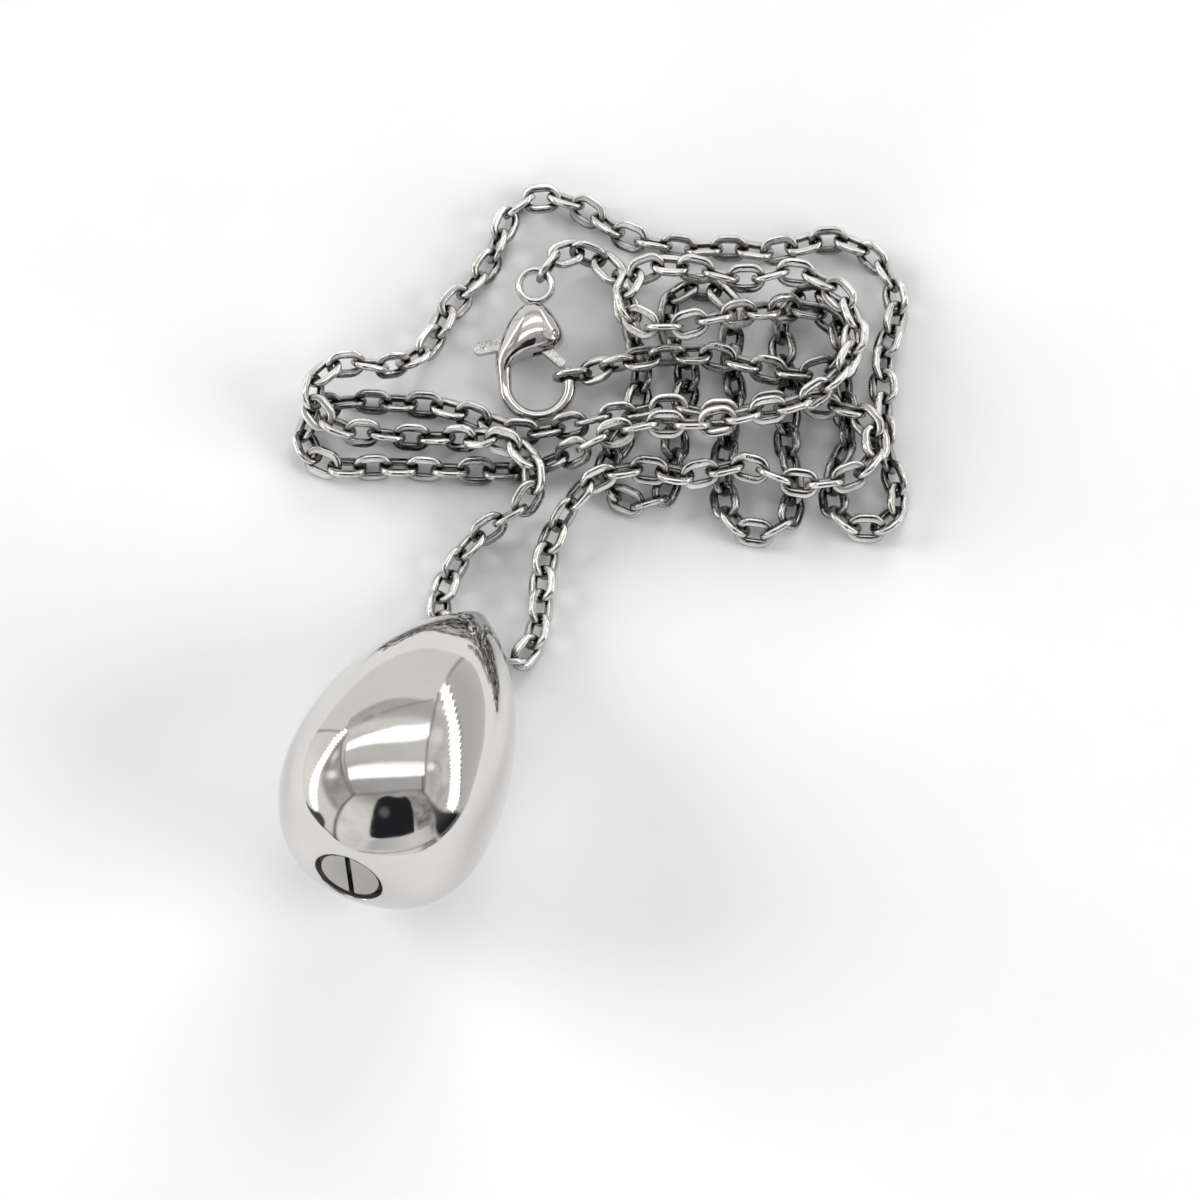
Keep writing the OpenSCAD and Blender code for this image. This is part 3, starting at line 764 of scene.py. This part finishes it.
def over(value, mask, new):
    """new where the mask is 1, value where it is 0."""
    n = t.nodes.new("ShaderNodeMix")
    n.data_type = "FLOAT"
    t.links.new(mask, n.inputs[0])
    for s, v in ((n.inputs[2], value), (n.inputs[3], new)):
        if isinstance(v, (int, float)):
            s.default_value = v
        else:
            t.links.new(v, s)
    return n.outputs[0]


def part_of(x, y, low, high, soft, ends=1.0, teeth=None):
    """1 between two curves y = low(x) and y = high(x) over the same stretch of x."""
    lo = min(v for _, v in low + high) - 1
    hi = max(v for _, v in low + high) + 1
    below, above = curve(x, low, lo, hi), curve(x, high, lo, hi)
    if teeth is not None:
        below, above = W("ADD", below, teeth), W("SUBTRACT", above, teeth)
    past_low = step_up(W("SUBTRACT", y, below), 0, soft)
    short_of_high = step_up(W("SUBTRACT", above, y), 0, soft)
    return both(past_low, short_of_high, between(x, low[0][0], low[-1][0], ends))


def line(x, y, points, half, soft, ends=1.0):
    """1 along a curve y = points(x), half the line's width to each side."""
    lo, hi = min(v for _, v in points) - 1, max(v for _, v in points) + 1
    off = W("ABSOLUTE", W("SUBTRACT", y, curve(x, points, lo, hi)))
    return both(W("SUBTRACT", 1.0, step_up(off, half, soft)), between(x, points[0][0], points[-1][0], ends))


def spot(x, y, at, size):
    """Soft round patch."""
    a = W("DIVIDE", W("SUBTRACT", x, float(at[0])), float(size[0]))
    b = W("DIVIDE", W("SUBTRACT", y, float(at[1])), float(size[1]))
    r = W("SQRT", W("ADD", W("MULTIPLY", a, a), W("MULTIPLY", b, b)))
    return W("SUBTRACT", 1.0, step_up(r, 0.6, 0.4))


def patches(light, x, y, spots, share):
    """Lays soft patches over the light: middle, size and tone of each."""
    for at, size, value in spots:
        light = over(light, W("MULTIPLY", spot(x, y, at, size), share), value)
    return light


# Directions as azimuth and elevation in degrees, and as places on a level ceiling 1 unit up
DEG = 180 / math.pi
az = W("MULTIPLY", W("ARCTAN2", X, Y), DEG)
around = W("FLOORED_MODULO", az, 360.0)
el = W("MULTIPLY", W("ARCSINE", Z), DEG)
up = W("MAXIMUM", Z, 0.02)
cx, cy = W("DIVIDE", X, up), W("DIVIDE", Y, up)
cloud = node(t, "ShaderNodeTexNoise", Vector=spin.outputs[0], Scale=5.0, Detail=3.0).outputs[0]
cloud = W("MULTIPLY_ADD", cloud, 0.6, -0.3)
PALE, BAR, STRIP = 0.86, 2.2, 2.4

# Pale walls, a little brighter beside the left strip, and a grey right wall
beside_strip = W("MULTIPLY", spot(az, el, (-80, 12), (45, 20)), 0.12)
light = W("ADD", W("ADD", PALE, W("MULTIPLY", cloud, 0.1)), beside_strip)
right_wall = both(between(az, 20.5, 104, 1.0), W("SUBTRACT", 1.0, step_up(el, 28, 2)))
light = over(light, right_wall, curve(el, [(-5, 0.80), (0, 0.72), (8, 0.63), (26, 0.58)], 0, 1))

# Side panels above the strips
left_panel = both(between(az, -129, -27, 1.5), step_up(el, 33, 4))
light = over(light, left_panel, W("ADD", 0.46, cloud))
light = patches(light, az, el, (
    ((-84, 46), (9, 9), 1.25),
    ((-58, 44), (12, 5), 0.95),
    ((-104, 44), (10, 12), 0.36),
    ((-118, 50), (9, 14), 0.5),
    ((-70, 57), (30, 5), 0.26),
), 0.85)
right_panel = both(between(az, 19, 135, 2.0), step_up(el, 30, 3))
light = over(light, right_panel, W("ADD", 0.66, cloud))
light = patches(light, az, el, (
    ((58, 55), (9, 6), 1.4),
    ((36, 40), (10, 6), 0.95),
    ((100, 43), (22, 8), 0.50),
    ((75, 42), (20, 5), 0.82),
    ((80, 56), (25, 6), 0.55),
), 0.85)

# Ceiling panel
ceiling = both(
    part_of(
        cy, cx,
        [(-0.4, -0.57), (-0.05, -0.60), (0.26, -0.63), (0.63, -0.67), (1.1, -0.72), (1.75, -0.80)],
        [(-0.4, 0.50), (-0.05, 0.48), (0.26, 0.48), (0.63, 0.50), (1.1, 0.55), (1.75, 0.66)],
        0.015, 0.05,
    ),
    step_up(Z, 0.1, 0.05),
)
ceiling_tone = curve(cy, [
    (-0.4, 0.42), (-0.1, 0.50), (0.2, 0.58), (0.5, 0.72),
    (0.85, 0.74), (1.12, 0.90), (1.32, 0.58), (1.75, 0.50),
], 0, 1)
light = over(light, ceiling, W("ADD", ceiling_tone, W("MULTIPLY", cloud, 0.3)))
light = patches(light, cx, cy, (((-0.28, 1.34), (0.16, 0.14), 0.26),), 0.5)

# Front wall: two pale panels beside the camera's opening, the right one folded, dark borders outside them
front = part_of(
    el, around,
    [(-3, 136), (15, 138), (30, 130), (42, 124), (52, 118), (60, 108), (68, 100)],
    [(-3, 225), (15, 227), (30, 230), (42, 233), (52, 236), (60, 240), (68, 250)],
    2.0, 1.0,
)
front = W("MAXIMUM", front, both(step_up(W("MULTIPLY", cy, -1.0), 0.24, 0.03), step_up(el, 64, 1.0)))
front_tone = W("ADD", W("ADD", PALE, W("MULTIPLY", cloud, 0.9)), W("MULTIPLY", step_up(el, 58, 12), -0.40))
light = over(light, front, front_tone)
right_fold = both(front, step_up(W("MULTIPLY", around, -1.0), -154, 5.0))
light = over(light, right_fold, W("ADD", 0.34, W("MULTIPLY", cloud, 1.6)))
right_dark = part_of(
    el, az,
    [(1, 106), (10, 107), (20, 112), (30, 116), (45, 116), (62, 104)],
    [(1, 134), (10, 136), (20, 135), (30, 130), (45, 124), (62, 110)],
    3.5, 2.0,
)
light = over(light, right_dark, curve(el, [(1, 0.015), (12, 0.02), (22, 0.05), (40, 0.14), (62, 0.3)], 0, 1))
left_dark = part_of(
    az, el,
    [(-126, -4), (-119, 0), (-110, 0), (-98, -3)],
    [(-126, 3), (-119, 13), (-110, 7), (-98, -1)],
    2.0, 1.5,
)
light = over(light, W("MULTIPLY", left_dark, 0.95), 0.03)

# The opening, dark, with a dim shape in it, and the pale cloth below it
opening = part_of(
    el, around,
    [(24, 160.5), (31, 159), (38, 157), (50, 153), (62, 148), (70, 144), (76, 150)],
    [(24, 204), (31, 206.5), (38, 208), (50, 210), (62, 213), (70, 213), (76, 200)],
    1.0, 1.2,
)
light = over(light, opening, W("ADD", 0.016, W("MULTIPLY", spot(around, el, (199, 57), (10, 9)), 0.13)))
low_front = part_of(
    around, el,
    [(138, 8), (160, 9), (185, 8), (203, 6)],
    [(138, 30), (160, 31), (185, 28), (203, 20)],
    1.6, 4.0,
)
light = over(light, low_front, curve(around, [(138, 0.60), (160, 0.80), (185, 0.66), (203, 0.55)], 0, 1))

# Dark lines: ceiling edges, corners of the walls, floor's front edge; half width, softness and tone
for x, y, points, half, soft, value in (
    (cx, cy, [(-0.1, 1.36), (0.05, 1.42), (0.3, 1.58), (0.62, 1.82)], 0.02, 0.04, 0.30),
    (cy, cx, [(-0.35, -0.56), (0.0, -0.60), (0.3, -0.66), (0.7, -0.70), (1.15, -0.68), (1.45, -0.82)],
     0.012, 0.035, 0.20),
    (cy, cx, [(-0.12, 0.49), (0.26, 0.475), (0.63, 0.50), (1.1, 0.55), (1.5, 0.62), (2.3, 0.80)],
     0.012, 0.03, 0.16),
    (cx, cy, [(-0.56, -0.37), (-0.31, -0.27), (-0.05, -0.17), (0.2, -0.11), (0.5, -0.10)], 0.01, 0.04, 0.22),
    (az, el, [(55, 61), (75, 66), (98, 65.5), (112, 58)], 0.7, 1.4, 0.08),
    (el, az, [(-4, -135), (10, -133.5), (25, -131), (40, -128), (52, -125), (60, -121)], 1.2, 1.6, 0.07),
    (az, el, [(-123, 58), (-105, 61.5), (-80, 61), (-62, 57), (-45, 50)], 0.3, 1.4, 0.22),
    (az, el, [(-78, 38), (-62, 41), (-45, 41), (-28, 38)], 0.5, 1.6, 0.26),
    (el, az, [(-2, -45), (8, -43), (18, -40), (26, -37), (33, -33)], 0.7, 1.2, 0.26),
    (el, az, [(-2, 20.5), (8, 19.5), (16, 19.5)], 0.6, 1.0, 0.26),
    (az, el, [(51, 52), (57, 48), (70, 46)], 0.2, 1.2, 0.30),
    (around, el, [(102, 4), (118, 4), (136, 6), (150, 8), (166, 8), (180, 6), (195, 2.5), (208, 1.5)],
     0.6, 2.2, 0.30),
    (around, el, [(222, 1.5), (235, 1.5), (248, 1), (262, 1)], 0.8, 1.8, 0.10),
):
    drawn = line(x, y, points, half, soft, 0.02 if x in (cx, cy) else 1.0)
    light = over(light, both(drawn, step_up(Z, -0.08, 0.03)), value)

# Lit bars on the ceiling, the near one in a softer, dimmer frame
for low, high, soft, ends, value in (
    ([(-0.52, -0.05), (-0.21, 0.03), (0.05, 0.11), (0.46, 0.19)],
     [(-0.52, 0.19), (-0.21, 0.27), (0.05, 0.36), (0.46, 0.45)], 0.025, 0.008, 1.25),
    ([(-0.51, -0.02), (-0.21, 0.05), (0.05, 0.13), (0.45, 0.21)],
     [(-0.51, 0.14), (-0.21, 0.22), (0.05, 0.30), (0.45, 0.38)], 0.035, 0.012, BAR),
    ([(-0.56, 0.57), (-0.18, 0.66), (0.10, 0.75), (0.52, 0.92)],
     [(-0.56, 0.76), (-0.18, 0.89), (0.10, 1.02), (0.52, 1.15)], 0.045, 0.012, BAR),
):
    light = over(light, part_of(cx, cy, low, high, soft, ends), value)

# Lit strips on the side walls, with toothed edges, and a dark line below the right one
teeth = W("MULTIPLY_ADD", W("ABSOLUTE", W("SINE", W("MULTIPLY", az, math.pi / 3.8))), 2.4, -1.2)
left_strip = part_of(
    az, el,
    [(-113, 9), (-104, 8), (-92, 12), (-80, 18.5), (-70, 25),
     (-60, 29.5), (-50, 31), (-40, 31), (-29, 33)],
    [(-113, 15), (-104, 20), (-92, 26.5), (-80, 31.5), (-70, 35.5),
     (-60, 38), (-50, 38.5), (-40, 38), (-29, 36)],
    0.45, 1.0, teeth,
)
light = over(light, left_strip, STRIP)
right_strip = part_of(
    az, el,
    [(20, 17), (30, 22.5), (40, 26), (50, 26.8), (60, 26),
     (70, 24.8), (80, 22.5), (90, 19), (100, 14.5), (110, 14)],
    [(20, 23), (30, 29.5), (40, 33), (50, 35), (60, 36),
     (70, 36), (80, 35), (90, 33.5), (100, 31), (110, 27)],
    0.45, 1.0, teeth,
)
under_strip = [(20, 16.6), (40, 25.2), (50, 26), (70, 24), (80, 21.6), (90, 18), (100, 13.5)]
light = over(light, line(az, el, under_strip, 0.9, 0.8), 0.30)
light = over(light, right_strip, STRIP)

# Slightly warm, with a bluish cast in the darks
tint = t.nodes.new("ShaderNodeCombineColor")
for k, (share, rest) in enumerate(((1.0, 0.004), (0.988, 0.004), (0.965, 0.009))):
    t.links.new(W("MULTIPLY_ADD", light, share, rest), tint.inputs[k])
t.links.new(tint.outputs[0], back.inputs["Color"])
back.inputs["Strength"].default_value = 1.0
world.cycles_visibility.diffuse = False

# Broad soft light for the table, from above and from low on all sides, unseen in the metal
# Azimuth, height and spread in degrees, and share of the light on the table
for name, azimuth, height, spread, share in (
    ("light_top", 20, 78, 70, 0.70),
    ("light_left", -95, 20, 40, 0.85),
    ("light_right", 85, 20, 40, 0.80),
    ("light_back", -5, 22, 40, 0.55),
    ("light_front", 178, 22, 40, 0.55),
):
    sun = bpy.data.objects.new(name, bpy.data.lights.new(name, "SUN"))
    sun.data.angle = math.radians(spread)
    sun.data.energy = share / math.sin(math.radians(height))
    a, h = math.radians(azimuth), math.radians(height)
    toward = Vector((math.sin(a) * math.cos(h), math.cos(a) * math.cos(h), math.sin(h)))
    sun.rotation_mode = "QUATERNION"
    sun.rotation_quaternion = toward.to_track_quat("Z", "Y")
    sun.visible_glossy = False
    sun.visible_camera = False
    bpy.context.collection.objects.link(sun)

# ---------------------------------------------------------------- camera
VIEW_ANGLE, DISTANCE = math.radians(11.045), 0.5
camera = bpy.data.objects.new("camera", bpy.data.cameras.new("camera"))
camera.data.sensor_width = 36
camera.data.lens = 18 / math.tan(VIEW_ANGLE / 2)
camera.data.clip_start, camera.data.clip_end = 0.01, 20
aim = Vector((0.00434, -0.00218, 0))
behind = Vector((0.15237, -0.37712, 0.91355)).normalized()
camera.location = aim + behind * DISTANCE
camera.rotation_mode = "QUATERNION"
camera.rotation_quaternion = behind.to_track_quat("Z", "Y")
bpy.context.collection.objects.link(camera)
scene.camera = camera
